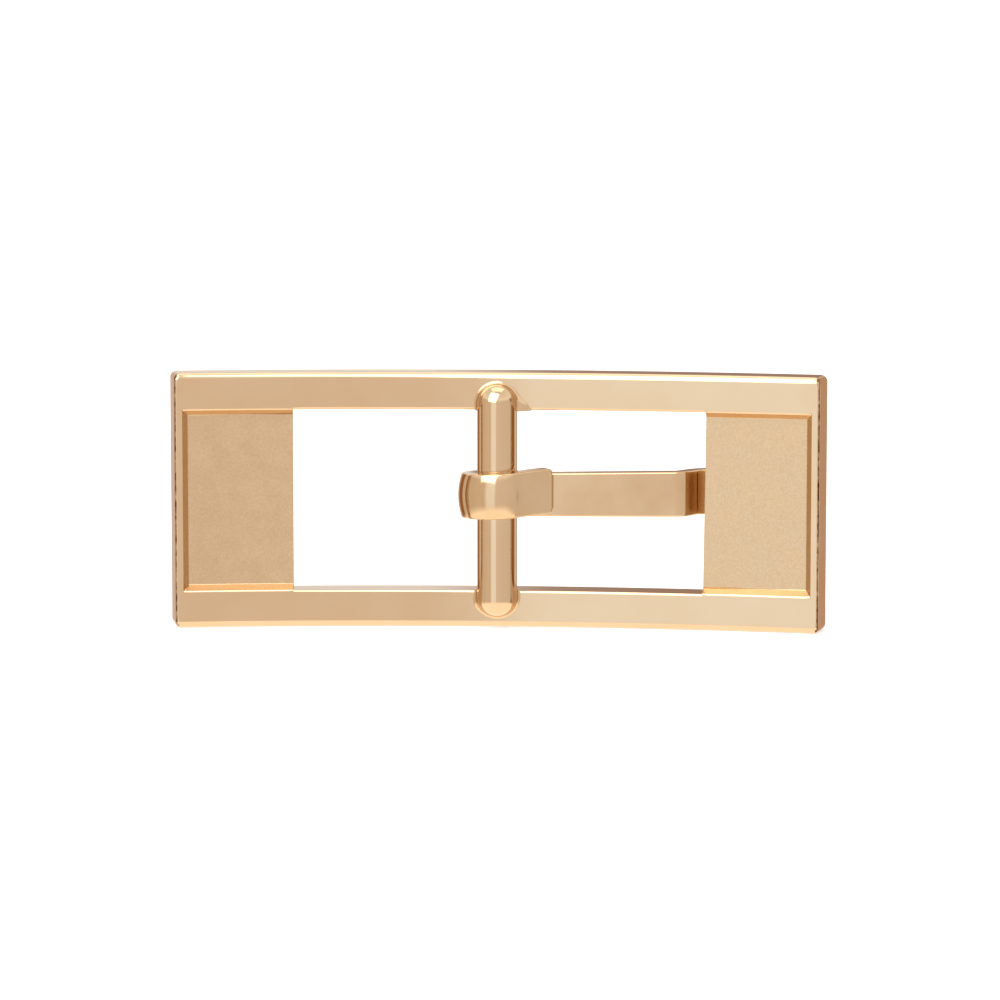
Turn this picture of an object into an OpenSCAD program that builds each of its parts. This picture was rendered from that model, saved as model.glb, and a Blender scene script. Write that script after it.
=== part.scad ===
// Rectangular centre-bar belt buckle: a bowed frame, a bar brazed across its back and a folded prong.
// The back faces -Y, +X is the long way and +Z is up. The origin is the middle of the bar.

/* [Frame] */
// Length of the frame over its front face
frame_l = 94.2; // [90:0.1:100]
// Height of the frame
frame_h = 36.7; // [35:0.1:40]
// Depth of the rails, back to front
frame_depth = 5; // [4.6:0.1:5.4]
// Radius of the bow, at the back face
bow_r = 260; // [250:5:280]
// Height of each long rail
rail_w = 5.3; // [5:0.1:6]
// Rounding of the frame's long edges
plate_edge_r = 0.8; // [0.4:0.1:1]
// Radius of the outer corners, seen from the front
corner_r = 1.3; // [0.8:0.1:2]
// Slope of the two end faces, wider at the front
end_draft = 14; // [12:1:16]

/* [Window and end webs] */
// Distance from the middle to the window's left edge
window_left = 29.4; // [28:0.1:30]
// Distance from the middle to the window's right edge
window_right = 29.8; // [28:0.1:30]
// Depth of the recess in the back of each end web
recess_depth = 1.3; // [1:0.1:1.6]
// Slope width of the recess's long walls
recess_slope = 0.8; // [0.3:0.1:0.9]
// How far the recess's mouth cuts into each rail, beyond the window's edge
recess_lip = 0.15; // [0.1:0.05:0.3]
// Thickness of the rim round each end, at the back
rim_w = 1.1; // [0.9:0.1:1.4]

/* [Centre bar] */
// Diameter of the bar
bar_d = 5.74; // [5.5:0.01:6]
// Length of the bar over its domed ends
bar_l = 33.4; // [33:0.1:34.2]
// How far the bar's axis stands behind the frame's back face
bar_proud = 0.5; // [0.3:0.1:0.6]

/* [Prong] */
// Radial clearance of the prong's loop on the bar
loop_clearance = 0.08; // [0.05:0.01:0.1]
// Where the prong sits along the bar, above its middle
prong_z = 0.9; // [-5:0.1:5]
// Thickness of the strip
strip_t = 2.1; // [1.9:0.1:2.2]
// Width of the strip
strip_w = 6.5; // [6:0.1:7.4]
// Outside radius of the loop at the top of its crown
loop_r = 5.6; // [5.5:0.05:5.7]
// How far the crown falls away at the loop's edges
loop_crown = 0.55; // [0.3:0.05:0.6]
// Slope at which the strip leaves the bar towards the shank
front_slope = 20; // [16:1:24]
// Distance from the bar's axis forward to the shank's back face
shank_back = 1.2; // [1:0.1:1.4]
// Distance from the bar's axis to where the tail meets the shank
tail_x = 6.8; // [6.6:0.1:7]
// Distance from the bar's axis to the start of the step
step_x = 26.7; // [26.5:0.1:27]
// Length of the step
step_l = 2.6; // [2.3:0.1:2.7]
// Height of the step, towards the front
step_h = 3.1; // [3:0.05:3.3]
// Distance from the bar's axis to the prong's tip
prong_reach = 38; // [37:0.1:38.5]
// Thickness of the tip, as a share of the strip's
tip_taper = 0.7; // [0.6:0.05:0.8]
// Gap between the tip and the frame when the prong is closed
tip_gap = 0.12; // [0.1:0.01:0.2]

/* [Hidden] */
$fn = 96;
back_y = bar_proud;
front_r = bow_r + frame_depth;
floor_r = bow_r + recess_depth;
bow_y = back_y - bow_r;
half_h = frame_h / 2;
window_half_h = half_h - rail_w;
bar_r = bar_d / 2;
bore_r = bar_r + loop_clearance;
// Angle round the bow of a place x along the frame
function bow_angle(x) = asin(x / (bow_r + frame_depth / 2));
// The front face's y at a place x along the frame
function front_y(x) = bow_y + sqrt(front_r * front_r - x * x);
end_margin = 1; // degrees of bow beyond each end, before the ends are cut
end_angle = bow_angle(frame_l / 2) + end_margin;
rim_angle = bow_angle(frame_l / 2 - frame_depth * tan(end_draft) - rim_w);
// The tail leaves the bore on the tangent that passes through the point where it meets the shank
tail_end = [tail_x, shank_back];
tail_slope = atan(shank_back / tail_x) + asin(bore_r / norm(tail_end));
tail_run = [cos(tail_slope), sin(tail_slope)];
tail_out = strip_t * [sin(tail_slope), -cos(tail_slope)];
tail_start = bore_r * [sin(tail_slope), -cos(tail_slope)];
// The other side of the strip leaves the bore at the front slope, and levels out as the shank
front_out = [sin(front_slope), cos(front_slope)];
front_start = bore_r * front_out;
front_end = [front_start.x + (front_start.y - shank_back) / tan(front_slope), shank_back];
front_bend = strip_t * tan(front_slope / 2);
step_bend = strip_t * tan(atan(step_h / step_l) / 2);
// The loop is a hair narrower than the shank, so that their sides don't share a plane
side_inset = 0.05;
loop_w = strip_w - 2 * side_inset;
crown_r = (strip_w * strip_w / 4 + loop_crown * loop_crown) / (2 * loop_crown);
tip_y = front_y(prong_reach) + tip_gap;
// Small overlap that joins neighbouring solids, and how far a cutter runs past what it cuts
overlap = 0.05;
past = 1;
// Reach of the outlines that are cut or kept through the whole depth of the buckle
through = frame_depth * 3;

// Revolves a radius-and-height profile round the bow, from one angle to another
module bowed(from, to) {
    translate([0, bow_y, 0])
        rotate([0, 0, 90 - to])
            rotate_extrude(angle = to - from) children();
}

// A rectangle with rounded corners, from its low corner to its high corner
module soft_rect(low, high, r) {
    translate([low.x + r, low.y]) square([high.x - low.x - 2 * r, high.y - low.y]);
    translate([low.x, low.y + r]) square([high.x - low.x, high.y - low.y - 2 * r]);
    for (x = [low.x + r, high.x - r], y = [low.y + r, high.y - r])
        translate([x, y]) circle(r);
}

// Stands a flat outline up, so that it is seen from the front, through the whole depth
module through_depth() {
    translate([0, through, 0])
        rotate([90, 0, 0])
            linear_extrude(2 * through) children();
}

// The whole bowed plate, with its long edges rounded
module plate() {
    bowed(-end_angle, end_angle)
        soft_rect([bow_r, -half_h], [front_r, half_h], plate_edge_r);
}

module window() {
    bowed(-bow_angle(window_left), bow_angle(window_right))
        translate([bow_r - past, -window_half_h])
            square([frame_depth + 2 * past, 2 * window_half_h]);
}

// Recess in the back of one end web, with sloping long walls
module recess(from, to) {
    floor_half_h = window_half_h - recess_slope + recess_lip;
    mouth_half_h = window_half_h + recess_lip + recess_slope * past / recess_depth;
    bowed(from, to)
        polygon([
            [floor_r, -floor_half_h],
            [floor_r, floor_half_h],
            [bow_r - past, mouth_half_h],
            [bow_r - past, -mouth_half_h]
        ]);
}

// Plan of the frame's ends, wider at the front
module end_slopes() {
    end_front_y = front_y(frame_l / 2);
    spread = tan(end_draft) * through;
    half_l = frame_l / 2;
    translate([0, 0, -frame_h])
        linear_extrude(frame_h * 2)
            polygon([
                [-half_l, end_front_y + through],
                [-half_l, end_front_y],
                [-half_l + spread, end_front_y - through],
                [half_l - spread, end_front_y - through],
                [half_l, end_front_y],
                [half_l, end_front_y + through]
            ]);
}

module frame() {
    color("#d8bb8e")
    difference() {
        intersection() {
            plate();
            end_slopes();
            through_depth()
                soft_rect([-frame_l / 2, -half_h], [frame_l / 2, half_h], corner_r);
        }
        window();
        recess(bow_angle(window_right - past), rim_angle);
        recess(-rim_angle, -bow_angle(window_left - past));
        bar_shape();
    }
}

module bar_shape() {
    straight = bar_l - bar_d;
    cylinder(h = straight, r = bar_r, center = true);
    for (z = [-straight / 2, straight / 2])
        translate([0, 0, z]) sphere(bar_r);
}

module centre_bar() {
    color("#cbab80") bar_shape();
}

// Crowned loop, from the shank round the left of the bar to the tail
module prong_loop() {
    rotate([0, 0, 90 - front_slope])
        rotate_extrude(angle = 180 + front_slope + tail_slope)
            intersection() {
                translate([loop_r - crown_r, 0]) circle(crown_r);
                translate([bore_r - overlap, -loop_w / 2]) square([loop_r, loop_w]);
            }
}

module prong_tail() {
    back = overlap * tail_run;
    translate([0, 0, -strip_w / 2])
        linear_extrude(strip_w)
            polygon([
                tail_start - back,
                tail_end + tail_run,
                tail_end + tail_out,
                tail_start + tail_out - back
            ]);
}

// Shank, step and tip, with a rounded end
module prong_shank() {
    step_end = step_x + step_l;
    shank_front = shank_back + strip_t;
    back = overlap * [cos(front_slope), -sin(front_slope)];
    intersection() {
        translate([0, 0, -strip_w / 2])
            linear_extrude(strip_w)
                polygon([
                    front_start - back,
                    front_end,
                    [step_x, shank_back],
                    [step_end, shank_back + step_h],
                    [prong_reach, tip_y],
                    [prong_reach, tip_y + strip_t * tip_taper],
                    [step_end - step_bend, shank_front + step_h],
                    [step_x - step_bend, shank_front],
                    front_end + [front_bend, strip_t],
                    front_start + strip_t * front_out - back
                ]);
        through_depth()
            soft_rect([-strip_w, -strip_w / 2], [prong_reach, strip_w / 2], strip_w / 2 - overlap);
    }
}

module prong() {
    color("#d2b184")
    translate([0, 0, prong_z])
    difference() {
        union() {
            prong_loop();
            prong_tail();
            prong_shank();
        }
        cylinder(h = strip_w + 2 * past, r = bore_r, center = true);
        translate([0, 0, -strip_w / 2 - past])
            linear_extrude(strip_w + 2 * past)
                polygon([[0, 0], front_start, front_end, tail_end, tail_start]);
    }
}

frame();
centre_bar();
prong();
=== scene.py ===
import math

import bpy
from mathutils import Matrix, Vector


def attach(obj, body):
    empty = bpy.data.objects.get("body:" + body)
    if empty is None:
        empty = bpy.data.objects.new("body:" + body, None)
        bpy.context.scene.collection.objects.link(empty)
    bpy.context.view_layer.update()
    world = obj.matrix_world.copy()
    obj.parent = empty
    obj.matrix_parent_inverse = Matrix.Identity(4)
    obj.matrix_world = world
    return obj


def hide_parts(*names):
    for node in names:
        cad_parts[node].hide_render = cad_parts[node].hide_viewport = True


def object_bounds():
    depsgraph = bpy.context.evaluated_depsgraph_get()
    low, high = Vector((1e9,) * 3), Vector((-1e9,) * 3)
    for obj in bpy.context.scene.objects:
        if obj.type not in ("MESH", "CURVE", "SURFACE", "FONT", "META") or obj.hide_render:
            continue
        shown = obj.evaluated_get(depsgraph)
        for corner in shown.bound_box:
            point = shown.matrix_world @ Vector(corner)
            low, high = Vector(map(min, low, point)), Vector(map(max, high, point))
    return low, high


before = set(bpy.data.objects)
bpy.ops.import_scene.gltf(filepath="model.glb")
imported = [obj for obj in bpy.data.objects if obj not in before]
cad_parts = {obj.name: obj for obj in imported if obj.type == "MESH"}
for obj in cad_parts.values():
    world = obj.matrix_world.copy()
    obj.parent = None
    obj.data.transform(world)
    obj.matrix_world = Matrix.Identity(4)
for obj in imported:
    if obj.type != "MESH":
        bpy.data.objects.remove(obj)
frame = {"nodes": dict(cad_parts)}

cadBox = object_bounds()
mm = 0.001
weld = 0.002 * mm          # vertices closer than this are one
modelled = {}
print("frame loaded:", ", ".join(frame["nodes"]))


# Editing helpers

def clearSelection():
    if bpy.context.object and bpy.context.object.mode != "OBJECT":
        bpy.ops.object.mode_set(mode="OBJECT")
    bpy.ops.object.select_all(action="DESELECT")


def workOn(piece):
    clearSelection()
    piece.select_set(True)
    bpy.context.view_layer.objects.active = piece


def startPiece(name):
    piece = bpy.context.object
    piece.name = name
    piece.data.name = name
    bpy.ops.object.transform_apply(location=True, rotation=True, scale=True)
    return piece


# Selects vertices by their place, or edges by their two ends, in millimetres
def pick(piece, kind, test):
    workOn(piece)
    bpy.ops.object.mode_set(mode="EDIT")
    bpy.ops.mesh.select_mode(type=kind)
    bpy.ops.mesh.select_all(action="DESELECT")
    bpy.ops.object.mode_set(mode="OBJECT")
    mesh = piece.data
    if kind == "VERT":
        for vertex in mesh.vertices:
            vertex.select = bool(test(vertex.co / mm))
    else:
        for edge in mesh.edges:
            a, b = (mesh.vertices[i].co / mm for i in edge.vertices)
            edge.select = bool(test(a, b))
    bpy.ops.object.mode_set(mode="EDIT")


def nudge(piece, test, move):
    pick(piece, "VERT", test)
    bpy.ops.transform.translate(value=Vector(move) * mm)
    bpy.ops.object.mode_set(mode="OBJECT")


def near(a, b, slack=0.02):
    return abs(a - b) < slack


def bearing(degrees):
    return Vector((math.cos(math.radians(degrees)), math.sin(math.radians(degrees))))


def smooth(share):
    share = min(1.0, max(0.0, share))
    return share * share * (3 - 2 * share)


def finishWith(piece, kind, **settings):
    workOn(piece)
    modifier = piece.modifiers.new(kind.title(), kind)
    for name, value in settings.items():
        setattr(modifier, name, value)
    bpy.ops.object.modifier_apply(modifier=modifier.name)


def cutAway(piece, cutter):
    finishWith(piece, "BOOLEAN", operation="DIFFERENCE", solver="EXACT", object=cutter)
    bpy.data.objects.remove(cutter)


# Rounds edges by differing amounts: weigh(a, b) gives each edge its share of the width
def roundEdges(piece, width, segments, weigh):
    mesh = piece.data
    weights = mesh.attributes.new("bevel_weight_edge", "FLOAT", "EDGE")
    for edge in mesh.edges:
        a, b = (mesh.vertices[i].co / mm for i in edge.vertices)
        weights.data[edge.index].value = weigh(a, b)
    finishWith(piece, "BEVEL", limit_method="WEIGHT", width=width * mm, segments=segments,
               use_clamp_overlap=True, harden_normals=False)
    leftOver = mesh.attributes.get("bevel_weight_edge")
    if leftOver:
        mesh.attributes.remove(leftOver)


def sliceAcross(piece, places, normal=(1, 0, 0)):
    workOn(piece)
    bpy.ops.object.mode_set(mode="EDIT")
    for place in places:
        bpy.ops.mesh.select_all(action="SELECT")
        bpy.ops.mesh.bisect(plane_co=Vector(normal) * place * mm, plane_no=normal)
    bpy.ops.object.mode_set(mode="OBJECT")


def tidyMesh(piece, sharpest=32):
    workOn(piece)
    bpy.ops.object.mode_set(mode="EDIT")
    bpy.ops.mesh.select_all(action="SELECT")
    bpy.ops.mesh.remove_doubles(threshold=weld)
    bpy.ops.mesh.normals_make_consistent(inside=False)
    bpy.ops.object.mode_set(mode="OBJECT")
    bpy.ops.object.shade_smooth_by_angle(angle=math.radians(sharpest))


# Flat faces stay flat to the eye, and the narrow rounded edges beside them take up the turn
def keepFlats(piece):
    finishWith(piece, "WEIGHTED_NORMAL", mode="FACE_AREA", weight=60, keep_sharp=True)


def handOver(piece, body, node, slot, *finishes):
    piece.data.materials.clear()
    for finish in finishes:
        piece.data.materials.append(finish)
    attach(piece, body)
    if node:
        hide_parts(node)
    modelled[piece.name] = len(piece.data.polygons)


# Finishes

def linear(hexColour):
    parts = [int(hexColour[i:i + 2], 16) / 255 for i in (1, 3, 5)]
    return [p / 12.92 if p <= 0.04045 else ((p + 0.055) / 1.055) ** 2.4 for p in parts] + [1.0]


def newFinish(name):
    finish = bpy.data.materials.new(name)
    finish.use_nodes = True
    finish.node_tree.nodes.clear()
    return finish


# Adds a node, sets its own properties and its inputs' values, and links its inputs to other sockets
def addNode(owner, kind, settings=None, links=None):
    made = owner.node_tree.nodes.new(kind)
    for name, value in (settings or {}).items():
        if isinstance(name, int) or name in made.inputs:
            made.inputs[name].default_value = value
        else:
            setattr(made, name, value)
    for name, source in (links or {}).items():
        owner.node_tree.links.new(source, made.inputs[name])
    return made


# Electroplated pale gold over buffed zinc: a clear mirror with a slow ripple left by the buffing wheel,
# a trace of haze that comes and goes, and short hairlines along the length
buffedPlate = {
    "tint": "#DCBE9A",
    "deepTint": "#DABA94",
    "haze": (0.055, 0.11),
    "hazePatch": 9.0,        # mm across a hazy patch
    "ripple": 5.5,           # mm between ripples
    "rippleHeight": 0.0045,  # mm
    "hairline": 0.16,        # mm between hairlines
    "hairlineHeight": 0.00022,
}

# The same plate on an as-cast recess floor, which no wheel reaches: an even satin with a fine grain
castPlate = {
    "tint": "#D6B893",
    "deepTint": "#CFAF88",
    "speckled": True,        # the colour turns from grain to grain
    "haze": (0.30, 0.38),
    "hazePatch": 3.0,
    "ripple": 0.75,
    "rippleHeight": 0.007,
    "hairline": 0.30,        # mm, the size of a grain
    "hairlineHeight": 0.0075,
}

# Plate that has built up on a sharp edge: bright, with small beads that break up what it mirrors, and a
# painted dark reflection between the beads
beadedPlateWithPaintedReflection = {
    "tint": "#DCBE9A",
    "deepTint": "#6E3F1C",   # painted dark reflection between the beads
    "haze": (0.05, 0.16),
    "hazePatch": 1.2,
    "ripple": 0.9,
    "rippleHeight": 0.055,
    "hairline": 0.35,
    "hairlineHeight": 0.012,
}

# Plate on a blanked and tumbled strip: softer than the frame, with tumbling marks in all directions
tumbledPlate = {
    "tint": "#DABB95",
    "deepTint": "#D6B58D",
    "haze": (0.08, 0.14),
    "hazePatch": 5.0,
    "ripple": 3.5,
    "rippleHeight": 0.0028,
    "hairline": 0.12,
    "hairlineHeight": 0.00030,
}


# The middle part of a noise, where nearly all of its values lie
noiseLow, noiseHigh = 0.35, 0.65


def goldFinish(name, plate, stretch=(1, 1, 1)):
    finish = newFinish(name)
    place = addNode(finish, "ShaderNodeTexCoord").outputs["Object"]
    patches = addNode(finish, "ShaderNodeTexNoise", {"Scale": 1 / (plate["hazePatch"] * mm), "Detail": 3.0},
                      {"Vector": place}).outputs["Fac"]
    low, high = plate["haze"]
    haze = addNode(finish, "ShaderNodeMapRange",
                   {"From Min": noiseLow, "From Max": noiseHigh, "To Min": low, "To Max": high},
                   {"Value": patches}).outputs["Result"]
    along = addNode(finish, "ShaderNodeMapping", {"Scale": stretch}, {"Vector": place}).outputs["Vector"]
    lines = addNode(finish, "ShaderNodeTexNoise", {"Scale": 1 / (plate["hairline"] * mm), "Detail": 2.0},
                    {"Vector": along}).outputs["Fac"]
    tint = addNode(finish, "ShaderNodeValToRGB", {}, {"Fac": lines if plate.get("speckled") else patches})
    tint.color_ramp.elements[0].position = noiseLow
    tint.color_ramp.elements[0].color = linear(plate["deepTint"])
    tint.color_ramp.elements[1].position = noiseHigh
    tint.color_ramp.elements[1].color = linear(plate["tint"])
    waves = addNode(finish, "ShaderNodeTexNoise", {"Scale": 1 / (plate["ripple"] * mm), "Detail": 1.0},
                    {"Vector": place}).outputs["Fac"]
    fine = addNode(finish, "ShaderNodeBump", {"Strength": 1.0, "Distance": plate["hairlineHeight"] * mm},
                   {"Height": lines}).outputs["Normal"]
    both = addNode(finish, "ShaderNodeBump", {"Strength": 1.0, "Distance": plate["rippleHeight"] * mm},
                   {"Height": waves, "Normal": fine}).outputs["Normal"]
    shader = addNode(finish, "ShaderNodeBsdfPrincipled", {"Metallic": 1.0},
                     {"Base Color": tint.outputs["Color"], "Roughness": haze, "Normal": both})
    addNode(finish, "ShaderNodeOutputMaterial", {}, {"Surface": shader.outputs["BSDF"]})
    return finish


buffedGold = goldFinish("buffed_pale_gold_plate", buffedPlate, stretch=(0.05, 1, 1))
castGold = goldFinish("as_cast_pale_gold_plate", castPlate)
# the beaded finish paints a dark reflection between its beads
beadedGoldWithPaintedReflection = goldFinish("beaded_gold_with_painted_reflection", beadedPlateWithPaintedReflection)
tumbledGold = goldFinish("tumbled_pale_gold_plate", tumbledPlate)
barGold = goldFinish("buffed_pale_gold_bar", buffedPlate, stretch=(1, 1, 0.3))
print("finishes made")


# The frame: modelled flat, then bent. Sizes in millimetres, the bar's axis at 0, 0
casting = {
    "length": 94.2,          # over the front face
    "height": 36.7,
    "back": 0.5,             # the back face, forward of the bar's axis
    "depth": 5.0,
    "bow": 260.0,            # radius of the back face
    "rail": 5.3,
    "windowLeft": 29.4,
    "windowRight": 29.8,
    "windowSkew": 0.18,      # the right edge leans a little
    "recess": 1.3,
    "recessSlope": 0.8,
    "rim": 1.1,
    "endDraft": 14.0,        # degrees
    "corner": 0.9,
    "longRound": 0.9,
    "endRound": 0.3,
    "slices": 76,
    # what the wheel has worn down beside the long outer edges, on the back: (width, last slope)
    "worn": {1: (1.5, 0.55), -1: (0.8, 0.32)},
    "wornSlices": 5,
    "wornFade": (0.6, 2.5),  # where the wear stops short of each end, and over what length it fades
    "innerRound": 0.5,       # rounding of the cut edges, of which each kind has its share:
    "acrossShare": 0.3,      # edges that run across the frame
    "overWebShare": 0.4,     # long edges over the webs
    "railShare": 0.8,        # long edges along the window, back and front
    "footShares": (0.25, 0.2),     # the foot of the recess walls, near the window and away from it
    "cutFacing": 0.8,        # how squarely a face looks along the frame, to be a web's cut edge
    "endFacing": (0.27, 0.97),     # and to be the beaded back edge of an end, which takes the painted dark reflection, between these two
    "backFacing": -0.3,      # which also looks back at least this much
}


# Place along the flat strip of a place along the bowed one
def flatten(x):
    c = casting
    flatRadius = c["bow"] - c["back"]
    return flatRadius * math.asin(x / (c["bow"] + c["depth"] / 2))


def boxPiece(name, low, high):
    clearSelection()
    low, high = Vector(low), Vector(high)
    bpy.ops.mesh.primitive_cube_add(size=1, location=(low + high) / 2 * mm, scale=(high - low) * mm)
    return startPiece(name)


def makeFrame():
    c = casting
    back, front = c["back"], c["back"] + c["depth"]
    halfHeight = c["height"] / 2
    windowTop = halfHeight - c["rail"]
    flatRadius = c["bow"] - back
    frontHalf = flatRadius * math.asin(c["length"] / 2 / (c["bow"] + c["depth"]))
    backPlace = c["length"] / 2 - c["depth"] * math.tan(math.radians(c["endDraft"]))
    backHalf = flatRadius * math.asin(backPlace / c["bow"])
    plate = boxPiece("frame_casting", (-frontHalf, back, -halfHeight), (frontHalf, front, halfHeight))
    for side in (-1, 1):
        nudge(plate, lambda p: p.y < back + 1 and p.x * side > 0, (side * (backHalf - frontHalf), 0, 0))

    # round the four corners, then the long edges and, less, the ends
    pick(plate, "EDGE", lambda a, b: abs(a.y - b.y) > 1)
    bpy.ops.mesh.bevel(offset=c["corner"] * mm, segments=6, profile=0.5, affect="EDGES")
    bpy.ops.object.mode_set(mode="OBJECT")
    straight = halfHeight - c["corner"]

    def outerWeight(a, b):
        if abs(a.y - b.y) > 0.5:
            return 0.0
        rise = (abs(a.z) + abs(b.z)) / 2
        share = min(1, max(0, (rise - straight) / c["corner"]))
        return c["endRound"] / c["longRound"] * (1 - share) + share
    roundEdges(plate, c["longRound"], 5, outerWeight)

    # cut the two recesses, then the window
    left, right = -flatten(c["windowLeft"]), flatten(c["windowRight"])
    rimEdge = backHalf - c["rim"]
    floor = back + c["recess"]
    spread = c["recessSlope"] / c["recess"]      # slope of the walls, across per depth
    for side, edge in ((-1, left), (1, right)):
        ends = sorted((edge - side * 2, side * (rimEdge + spread)))
        recess = boxPiece("recess_cutter", (ends[0], back - 1, -windowTop - spread),
                          (ends[1], floor, windowTop + spread))
        inset = spread * (c["recess"] + 1)
        for turn in (-1, 1):
            nudge(recess, lambda p: p.y > back and p.z * turn > 0, (0, 0, -turn * inset))
        nudge(recess, lambda p: p.y > back and p.x * side > abs(edge), (-side * inset, 0, 0))
        cutAway(plate, recess)
    window = boxPiece("window_cutter", (left, back - 2, -windowTop), (right, front + 2, windowTop))
    for turn in (-1, 1):
        nudge(window, lambda p: p.x > 0 and p.z * turn > 0, (turn * c["windowSkew"], 0, 0))
    cutAway(plate, window)

    # soften the cut edges: rails, rims, window, and the foot of each recess wall
    def innerWeight(a, b):
        middle = (a + b) / 2
        insideZ = abs(middle.z) < windowTop + 0.1
        if not insideZ or abs(middle.x) > rimEdge + 0.1:
            return 0.0
        if near(a.y, back) and near(b.y, back):
            overWeb = abs(middle.x) > max(-left, right) - 0.1
            if abs(a.x - b.x) < 1:
                return c["acrossShare"]
            return c["overWebShare"] if overWeb else c["railShare"]
        if near(a.y, front) and near(b.y, front):
            return c["railShare"]
        if near(a.y, floor) and near(b.y, floor):
            nearWindow, awayFromIt = c["footShares"]
            return awayFromIt if abs(middle.x) > max(-left, right) + 0.5 else nearWindow
        return 0.0
    roundEdges(plate, c["innerRound"], 4, innerWeight)

    # wear down the back beside the long outer edges: a long shallow curve into the rounded edge
    short, fadeLength = c["wornFade"]
    count = c["wornSlices"]
    for turn, (width, slope) in c["worn"].items():
        start = halfHeight - c["longRound"] - width
        sliceAcross(plate, [turn * (start + width * i / count) for i in range(count)], (0, 0, 1))
        for vertex in plate.data.vertices:
            place = vertex.co / mm
            over = place.z * turn - start
            if over > 0 and place.y < back + c["longRound"] + 0.1:
                worn = slope * (min(over, width) ** 2 / (2 * width) + max(0, over - width))
                fade = min(1, max(0, (backHalf - short - abs(place.x)) / fadeLength))
                vertex.co.y += worn * fade * mm

    # slice and bend
    gap = 2 * frontHalf / c["slices"]
    sliceAcross(plate, [-frontHalf + gap * i for i in range(1, c["slices"])])
    places = [v.co.x for v in plate.data.vertices]
    span = max(places) - min(places)
    finishWith(plate, "SIMPLE_DEFORM", deform_method="BEND", deform_axis="Z",
               angle=-span / (flatRadius * mm))
    tidyMesh(plate)
    keepFlats(plate)
    handOver(plate, "buckle", "frame", "frame", buffedGold, castGold, beadedGoldWithPaintedReflection)

    # the recess floors and the webs' cut edges keep the as-cast grain, and the ends' back edges are beaded,
    # with a painted dark reflection between the beads
    centre = back - c["bow"]
    obliqueEnd, squareEnd = c["endFacing"]
    for face in plate.data.polygons:
        place = face.center / mm
        radius = math.hypot(place.x, place.y - centre)
        onFloor = near(radius, c["bow"] + c["recess"], 0.12) and abs(place.z) < windowTop - 0.4
        besideWindow = abs(place.x) < max(c["windowLeft"], c["windowRight"]) + 1
        onCut = abs(face.normal.x) > c["cutFacing"] and besideWindow
        if onCut or onFloor and abs(place.x) > min(c["windowLeft"], c["windowRight"]) - 1:
            face.material_index = 1
        turned = obliqueEnd < abs(face.normal.x) < squareEnd and face.normal.y < c["backFacing"]
        if turned and abs(place.x) > rimEdge + c["rim"] - 2 * c["endRound"]:
            face.material_index = 2


makeFrame()
print("frame modelled")


# The centre bar: a round bar with domed ends
bar = {
    "radius": 2.87,
    "length": 33.4,
    "sides": 96,
    "domeShare": 0.97,       # size of the dome's rounding, as a share of the radius
    "domeSteps": 20,
    "slices": range(-12, 13, 2),
}


def makeBar():
    clearSelection()
    bpy.ops.mesh.primitive_cylinder_add(vertices=bar["sides"], radius=bar["radius"] * mm,
                                        depth=bar["length"] * mm, end_fill_type="NGON")
    piece = startPiece("centre_bar_domed")
    end = bar["length"] / 2
    pick(piece, "EDGE", lambda a, b: near(abs(a.z), end) and near(a.z, b.z))
    bpy.ops.mesh.bevel(offset=bar["radius"] * bar["domeShare"] * mm, segments=bar["domeSteps"],
                       profile=0.5, affect="EDGES")
    bpy.ops.object.mode_set(mode="OBJECT")
    sliceAcross(piece, bar["slices"], normal=(0, 0, 1))
    tidyMesh(piece)
    handOver(piece, "buckle", "centre_bar", "centre_bar", barGold)


makeBar()
print("centre bar modelled")


# The brazing at each end of the bar: a small meniscus between the dome and the rail
brazing = {
    # its section: (distance from the dome's middle, depth)
    "outline": [(3.34, 0.62), (3.34, 0.48), (3.12, 0.42), (2.98, 0.26),
                (2.9, 0.02), (2.85, -0.3), (2.6, -0.3), (2.6, 0.62)],
    "centre": 13.83,         # height of the dome's middle
    "reach": 12.9,           # how far it creeps along the bar, below the rail
    # where each has run out along the rail: (share, bearing)
    "runs": {1: (0.5, -14), -1: (0.08, 200)},
    "runFrom": 2.95,         # only the skirt outside this radius runs
    "runSharpness": 12,
    "steps": 72,
}


def makeBrazing(name, turn):
    clearSelection()
    outline = brazing["outline"]
    bpy.ops.mesh.primitive_circle_add(vertices=len(outline), radius=mm, fill_type="NOTHING")
    piece = startPiece(name)
    centre = turn * brazing["centre"]
    for vertex, (out, depth) in zip(piece.data.vertices, outline):
        vertex.co = Vector((out, depth, centre)) * mm
    workOn(piece)
    bpy.ops.object.mode_set(mode="EDIT")
    bpy.ops.mesh.select_all(action="SELECT")
    bpy.ops.mesh.spin(steps=brazing["steps"], angle=math.tau, center=(0, 0, centre * mm), axis=(0, 1, 0))
    bpy.ops.mesh.select_all(action="SELECT")
    bpy.ops.mesh.remove_doubles(threshold=weld)
    bpy.ops.object.mode_set(mode="OBJECT")
    share, towards = brazing["runs"][turn]
    for vertex in piece.data.vertices:
        out = Vector((vertex.co.x, vertex.co.z - centre * mm)) / mm
        facing = max(0.0, out.normalized().dot(bearing(towards)))
        if out.length > brazing["runFrom"]:
            grow = 1 + share * facing ** brazing["runSharpness"]
            vertex.co.x = out.x * grow * mm
            vertex.co.z = (centre + out.y * grow) * mm
    bpy.ops.object.mode_set(mode="EDIT")
    bpy.ops.mesh.select_all(action="SELECT")
    bpy.ops.mesh.bisect(plane_co=(0, 0, turn * brazing["reach"] * mm), plane_no=(0, 0, -turn),
                        use_fill=True, clear_outer=True)
    bpy.ops.object.mode_set(mode="OBJECT")
    tidyMesh(piece, sharpest=50)
    handOver(piece, "buckle", None, "frame", tumbledGold)


makeBrazing("upper_brazing", 1)
makeBrazing("lower_brazing", -1)
print("brazing modelled")


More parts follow.
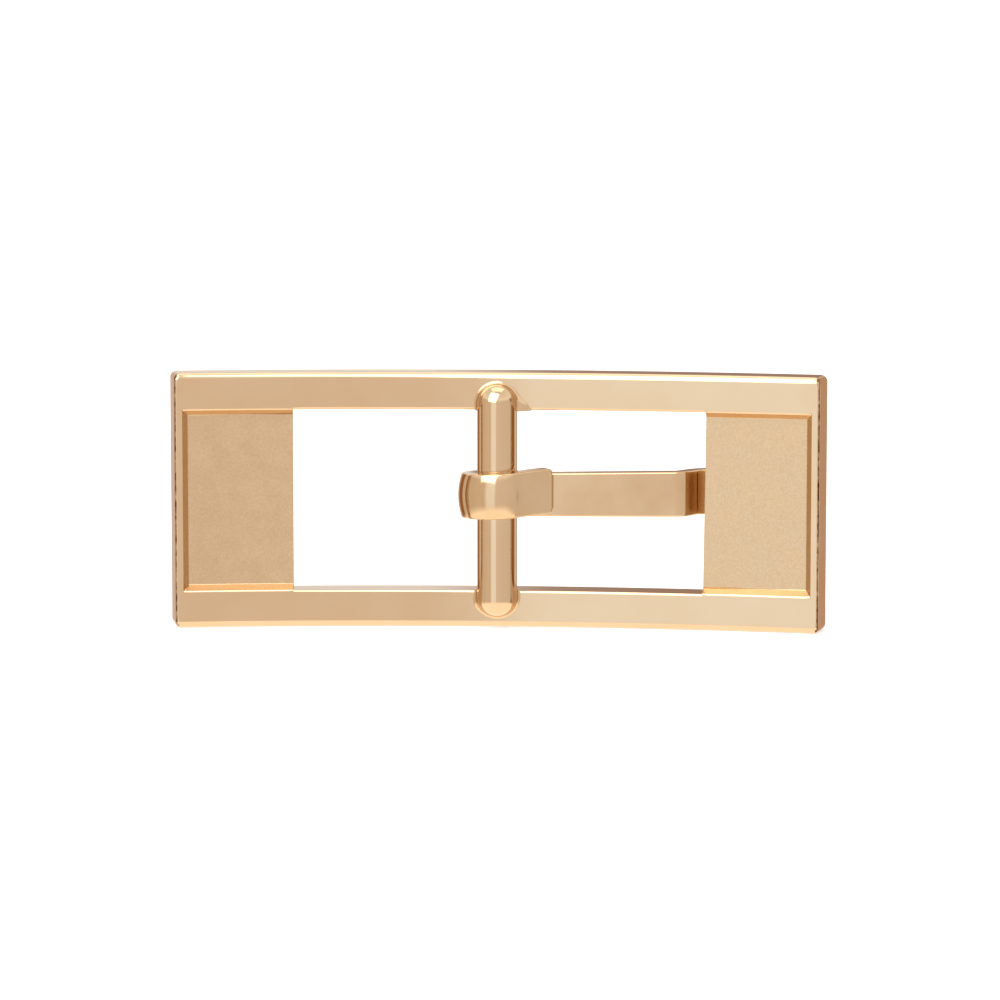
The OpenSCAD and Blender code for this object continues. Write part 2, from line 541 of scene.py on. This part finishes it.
# The prong: a flat blank with rounded edges, then bent along its route. The bar's axis is at 0, 0
strip = {
    "bore": 2.95,            # inside radius of the loop
    "thickness": 2.1,
    "loopWidth": 6.5,
    "shankWidths": (6.2, 6.5),     # beside the tail's end and at the step
    "seat": 0.66,            # height above the bar's middle, beside the tail's end
    "crown": 0.55,           # the loop's extra thickness at mid width
    "frontSlope": 20.0,      # degrees
    "shankBack": 1.2,        # the shank's back face, forward of the bar's axis
    "tailX": 6.8,            # where the tail's end lies on the shank
    "stepX": 26.7,
    "stepLength": 2.6,
    "stepHeight": 3.1,
    "reach": 38.0,
    "tipGap": 0.12,
    "tipShare": 0.7,         # thickness left at the tip
    "edgeRound": 0.26,
    "tailCorner": 0.6,
    "tipRound": 0.47,        # rounding of the tip's corners, as a share of the width
    "tipSteps": 14,
    "crownFade": 1.2,        # half the length over which the crown comes and goes
    "shankFade": 4,          # length over which the loop's width turns into the shank's
    "loopTurn": 35,          # degrees that the crown follows the strip past the shank's slope, to the tail
    "legParts": 4,           # pieces in each straight leg of the route
    "bendStep": 4,           # degrees in each piece of a bend
    "widthParts": 6,         # slices across each half of the width
    "bendRadius": 2.7,       # of the bends, on the side that is stretched
    "footRadius": 2.0,       # of the step's foot, on the back
    "foldLean": 0.85,        # the fold isn't quite square: the strip rises round the bar to its tail
    "shankLean": 0.3,        # and rises a little along the shank
}


# The route of the strip's bar side, in short straight runs: (distance, point, bearing in degrees)
def prongRoute():
    s = strip
    bore, level = s["bore"], s["shankBack"]
    tailEnd = Vector((s["tailX"], level))
    tailSlope = math.degrees(math.atan2(level, s["tailX"]) + math.asin(bore / tailEnd.length))
    down = s["frontSlope"]
    stepAngle = math.degrees(math.atan2(s["stepHeight"], s["stepLength"]))
    frontRadius = casting["bow"] + casting["depth"]
    bowCentre = casting["back"] - casting["bow"]
    tipY = bowCentre + math.sqrt(frontRadius ** 2 - s["reach"] ** 2) + s["tipGap"]
    stepEnd = Vector((s["stepX"] + s["stepLength"], level + s["stepHeight"]))
    tipAngle = math.degrees(math.atan2(tipY - stepEnd.y, s["reach"] - stepEnd.x))
    wide, foot = s["bendRadius"], s["footRadius"]

    def trimmed(turn, radius):
        return radius * math.tan(math.radians(abs(turn)) / 2)
    frontStart = bearing(90 - down) * bore
    frontRun = (frontStart.y - level) / math.sin(math.radians(down))
    frontEnd = frontStart + bearing(-down) * frontRun
    first, second, third = trimmed(down, wide), trimmed(stepAngle, wide), trimmed(stepAngle - tipAngle, foot)
    slant = math.hypot(s["stepLength"], s["stepHeight"])
    # each leg is a straight length, then a turn to the left in degrees at a radius
    legs = [
        (math.sqrt(tailEnd.length_squared - bore ** 2), -(180 + down + tailSlope), bore),
        (frontRun - first, down, wide),
        (s["stepX"] - frontEnd.x - first - second, stepAngle, wide),
        (slant - second - third, tipAngle - stepAngle, foot),
        ((s["reach"] - stepEnd.x) / math.cos(math.radians(tipAngle)) - third, 0, 1),
    ]
    point, angle, distance = tailEnd.copy(), 180 + tailSlope, 0.0
    stops = [(distance, point.copy(), angle)]
    for straight, turn, radius in legs:
        for part in range(s["legParts"]):
            point = point + bearing(angle) * straight / s["legParts"]
            distance += straight / s["legParts"]
            stops.append((distance, point.copy(), angle))
        turns = max(1, round(abs(turn) / s["bendStep"])) if turn else 0
        for part in range(turns):
            each = turn / turns
            chord = 2 * radius * math.sin(math.radians(abs(each)) / 2)
            point = point + bearing(angle + each / 2) * chord
            angle += each
            distance += radius * math.radians(abs(each))
            stops.append((distance, point.copy(), angle))
    return stops


def makeProng():
    s = strip
    stops = prongRoute()
    total = stops[-1][0]
    loopStart = stops[s["legParts"]][0]
    blank = boxPiece("prong_strip", (0, 0, -s["loopWidth"] / 2), (total, s["thickness"], s["loopWidth"] / 2))
    pick(blank, "EDGE", lambda a, b: a.x > 1 and b.x > 1 and abs(a.y - b.y) > 1)
    bpy.ops.mesh.bevel(offset=s["loopWidth"] * s["tipRound"] * mm, segments=s["tipSteps"], profile=0.5,
                       affect="EDGES")
    bpy.ops.object.mode_set(mode="OBJECT")
    pick(blank, "EDGE", lambda a, b: a.x < 1 and b.x < 1 and abs(a.y - b.y) > 1)
    bpy.ops.mesh.bevel(offset=s["tailCorner"] * mm, segments=5, profile=0.5, affect="EDGES")
    bpy.ops.object.mode_set(mode="OBJECT")
    roundEdges(blank, s["edgeRound"], 4, lambda a, b: 1.0 if abs(a.y - b.y) < 0.1 else 0.0)
    sliceAcross(blank, [stop[0] for stop in stops[1:-1]])
    inner = s["loopWidth"] / 2 - s["edgeRound"]
    count = s["widthParts"]
    sliceAcross(blank, [inner * step / count for step in range(1 - count, count)], normal=(0, 0, 1))

    loopEnd = loopStart + s["bore"] * math.radians(180 + s["frontSlope"] + s["loopTurn"])
    stepStart = total - (s["reach"] - s["stepX"])
    tipStart = total - (s["reach"] - s["stepX"] - s["stepLength"])
    distances = [stop[0] for stop in stops]

    def bend(place):
        along = min(total, max(0.0, place.x))
        index = max(i for i, d in enumerate(distances) if d <= along + 1e-6)
        index = min(index, len(stops) - 2)
        d0, p0, a0 = stops[index]
        d1, p1, a1 = stops[index + 1]
        share = (along - d0) / max(1e-9, d1 - d0)
        point = p0.lerp(p1, share)
        angle = a0 + (a1 - a0) * share
        outward = bearing(angle + 90)
        fade = s["crownFade"]
        comes = smooth((along - loopStart + fade) / (2 * fade))
        onLoop = comes * smooth((loopEnd + fade - along) / (2 * fade))
        crown = s["crown"] * (1 - (2 * place.z / s["loopWidth"]) ** 2) * onLoop
        thinner = 1 - (1 - s["tipShare"]) * max(0.0, (along - tipStart) / (total - tipStart))
        depth = place.y * thinner * (1 + crown / s["thickness"])
        start, end = s["shankWidths"]
        shank = smooth((along - loopEnd) / s["shankFade"])
        run = min(1.0, max(0.0, (along - loopEnd) / (stepStart - loopEnd)))
        width = 1 + ((start + (end - start) * run) / s["loopWidth"] - 1) * shank
        lean = s["shankLean"] * run + s["foldLean"] * (1 - smooth(along / loopEnd))
        place = point + outward * depth
        return Vector((place.x, place.y, s["seat"] + lean)), width

    for vertex in blank.data.vertices:
        flat = vertex.co / mm
        bent, width = bend(flat)
        vertex.co = (bent + Vector((0, 0, flat.z * width))) * mm
    tidyMesh(blank, sharpest=40)
    keepFlats(blank)
    handOver(blank, "prong", "prong", "prong", tumbledGold)


makeProng()
print("prong modelled")


# Stage: a pale floor, soft light from the upper left and from above, and the camera behind the buckle
studio = {
    "floorSize": 3.0,        # m
    "floor": "#E4E2DF",
    "floorLift": 0.35,       # extra light that only the camera sees, so that the card reads as white
    "toothScale": 1500.0,    # the card's tooth, in grains per metre
    "toothHeight": 0.00001,  # m
    "backdrop": 1.1,
    "distance": 700.0,       # mm from the camera to the buckle's middle
    "azimuth": 3.4,
    "elevation": 7.6,
    "roll": 0.02,
    "frameWidth": 143.2,     # mm across the picture at the buckle
    "aim": (0.35, 1.0, -0.02),
    "sensor": 36.0,          # mm
    "glossyBounces": 12,     # the gap beside the step mirrors itself many times
}


def lookFrom(azimuth, elevation):
    a, e = math.radians(azimuth), math.radians(elevation)
    return Vector((math.sin(a) * math.cos(e), -math.cos(a) * math.cos(e), math.sin(e)))


def makeFloor():
    clearSelection()
    low = cadBox[0][2]
    bpy.ops.mesh.primitive_plane_add(size=studio["floorSize"], location=(0, 0, low))
    floor = startPiece("floor")
    card = newFinish("painted_card_floor")
    place = addNode(card, "ShaderNodeTexCoord").outputs["Object"]
    tooth = addNode(card, "ShaderNodeTexNoise", {"Scale": studio["toothScale"], "Detail": 2.0},
                    {"Vector": place}).outputs["Fac"]
    bump = addNode(card, "ShaderNodeBump", {"Distance": studio["toothHeight"]},
                   {"Height": tooth}).outputs["Normal"]
    paint = addNode(card, "ShaderNodeBsdfDiffuse", {"Color": linear(studio["floor"])}, {"Normal": bump})
    lift = addNode(card, "ShaderNodeEmission", {"Strength": studio["floorLift"]})
    lifted = addNode(card, "ShaderNodeAddShader", {}, {0: paint.outputs[0], 1: lift.outputs[0]})
    direct = addNode(card, "ShaderNodeLightPath").outputs["Is Camera Ray"]
    mixed = addNode(card, "ShaderNodeMixShader", {}, {0: direct, 1: paint.outputs[0], 2: lifted.outputs[0]})
    clear = addNode(card, "ShaderNodeBsdfTransparent")
    mirrored = addNode(card, "ShaderNodeLightPath").outputs["Is Glossy Ray"]
    # the metal mirrors the room all round, as it would hung clear of the card
    final = addNode(card, "ShaderNodeMixShader", {}, {0: mirrored, 1: mixed.outputs[0], 2: clear.outputs[0]})
    addNode(card, "ShaderNodeOutputMaterial", {}, {"Surface": final.outputs[0]})
    floor.data.materials.append(card)


# The room that the metal mirrors, round the compass from behind the buckle
surround = [
    # azimuth in degrees, colour, brightness
    (-180, "#F3CDB8", 0.42), (-177.3, "#F3CDB8", 0.42),
    (-176.2, "#FBF5F1", 0.92), (-166, "#FBF5F1", 0.92),
    (-158, "#F6DCCB", 0.75), (-147, "#F6DCCB", 0.8),
    (-141, "#A5754A", 1.0), (-124, "#A5754A", 1.0),
    (-118, "#FBEFE2", 0.84), (-72, "#FBEFE2", 0.84),
    (-62, "#F6EBDD", 0.95), (-37, "#F6EBDD", 0.95),
    (-27, "#ECF5FF", 1.38), (-5, "#ECF5FF", 1.38),
    (-2, "#FBF5F1", 0.98), (84, "#FBF5F1", 0.88),
    (93, "#A5754A", 0.9), (118, "#A5754A", 0.9),
    (124, "#FBF0E4", 0.9), (145, "#FBF0E4", 0.9),
    (150, "#E6BFA2", 0.75), (160, "#E6BFA2", 0.75),
    (166, "#FBE9DC", 0.8), (174, "#F3CDB8", 0.42), (180, "#F3CDB8", 0.42),
]

# and from straight down to straight up
heights = [
    # height, colour, brightness, share that hides the compass ramp
    (-1.0, "#FFF8EE", 1.5, 1), (-0.5, "#FFF8EE", 1.5, 1),
    (-0.34, "#FFF8EE", 1.2, 0), (0.34, "#FFFFFF", 1.2, 0),
    (0.5, "#FFFFFF", 1.2, 1), (1.0, "#FFFFFF", 0.9, 1),
]


def lit(hexColour, level):
    return [part * level for part in linear(hexColour)[:3]] + [1.0]


def fillRamp(ramp, places):
    stops = ramp.color_ramp.elements
    while len(stops) > 1:
        stops.remove(stops[-1])
    for index, (place, colour) in enumerate(places):
        stop = stops[0] if index == 0 else stops.new(place)
        stop.position = place
        stop.color = colour


def makeRoom():
    world = bpy.data.worlds.new("studio_room")
    bpy.context.scene.world = world
    world.use_nodes = True
    world.node_tree.nodes.clear()
    way = addNode(world, "ShaderNodeTexCoord").outputs["Generated"]
    parts = addNode(world, "ShaderNodeSeparateXYZ", {}, {0: way}).outputs
    away = addNode(world, "ShaderNodeMath", {"operation": "MULTIPLY", 1: -1.0}, {0: parts["Y"]}).outputs[0]
    compass = addNode(world, "ShaderNodeMath", {"operation": "ARCTAN2"}, {0: parts["X"], 1: away}).outputs[0]
    share = addNode(world, "ShaderNodeMapRange", {"From Min": -math.pi, "From Max": math.pi},
                    {"Value": compass})
    compassRamp = addNode(world, "ShaderNodeValToRGB", {}, {"Fac": share.outputs["Result"]})
    fillRamp(compassRamp,
             [((azimuth + 180) / 360, lit(colour, level)) for azimuth, colour, level in surround])
    height = addNode(world, "ShaderNodeMapRange", {"From Min": -1.0, "From Max": 1.0}, {"Value": parts["Z"]})
    upward = addNode(world, "ShaderNodeValToRGB", {}, {"Fac": height.outputs["Result"]})
    fillRamp(upward, [((z + 1) / 2, lit(colour, level)) for z, colour, level, hides in heights])
    hiding = addNode(world, "ShaderNodeValToRGB", {}, {"Fac": height.outputs["Result"]})
    fillRamp(hiding,
             [((z + 1) / 2, (hides, hides, hides, 1)) for z, colour, level, hides in heights])
    ramps = {0: hiding.outputs["Color"], 6: compassRamp.outputs["Color"], 7: upward.outputs["Color"]}
    room = addNode(world, "ShaderNodeMix", {"data_type": "RGBA"}, ramps).outputs[2]
    seen = addNode(world, "ShaderNodeBackground", {"Strength": 1.0}, {"Color": room}).outputs[0]
    plain = addNode(world, "ShaderNodeBackground",
                    {"Color": (1, 1, 1, 1), "Strength": studio["backdrop"]}).outputs[0]
    direct = addNode(world, "ShaderNodeLightPath").outputs["Is Camera Ray"]
    mixed = addNode(world, "ShaderNodeMixShader", {}, {0: direct, 1: seen, 2: plain}).outputs[0]
    addNode(world, "ShaderNodeOutputWorld", {}, {"Surface": mixed})


softboxes = [
    # name, azimuth, elevation, distance, width and height in m, colour, brightness
    ("key", -27, 46, 0.75, 0.66, 0.80, "#FFFFFF", 2.4),
    ("top", 180, 75, 0.8, 0.6, 0.5, "#FFF4E6", 1.1),
]


def makeLights():
    middle = (cadBox[0] + cadBox[1]) / 2
    for name, azimuth, elevation, distance, width, height, colour, level in softboxes:
        lamp = bpy.data.lights.new(name, "AREA")
        lamp.shape = "RECTANGLE"
        lamp.size, lamp.size_y = width, height
        lamp.energy = level * math.pi * width * height
        lamp.color = linear(colour)[:3]
        holder = bpy.data.objects.new(name, lamp)
        bpy.context.scene.collection.objects.link(holder)
        holder.location = middle + lookFrom(azimuth, elevation) * distance
        holder.rotation_euler = lookFrom(azimuth, elevation).to_track_quat("Z", "Y").to_euler()


def makeCamera():
    c = studio
    lens = bpy.data.cameras.new("camera")
    lens.sensor_width = c["sensor"]
    lens.lens = c["sensor"] * c["distance"] / c["frameWidth"]
    lens.clip_start, lens.clip_end = 0.01, 20
    camera = bpy.data.objects.new("camera", lens)
    bpy.context.scene.collection.objects.link(camera)
    back = lookFrom(c["azimuth"], c["elevation"])
    camera.location = Vector(c["aim"]) * mm + back * c["distance"] * mm
    roll = Matrix.Rotation(math.radians(c["roll"]), 3, "Z")
    turn = (-back).to_track_quat("-Z", "Y").to_matrix() @ roll
    camera.rotation_euler = turn.to_euler()
    bpy.context.scene.camera = camera
    bpy.context.scene.view_settings.view_transform = "Standard"
    bpy.context.scene.cycles.glossy_bounces = c["glossyBounces"]


makeFloor()
makeRoom()
makeLights()
makeCamera()
print("stage set")

print("faces:", modelled)
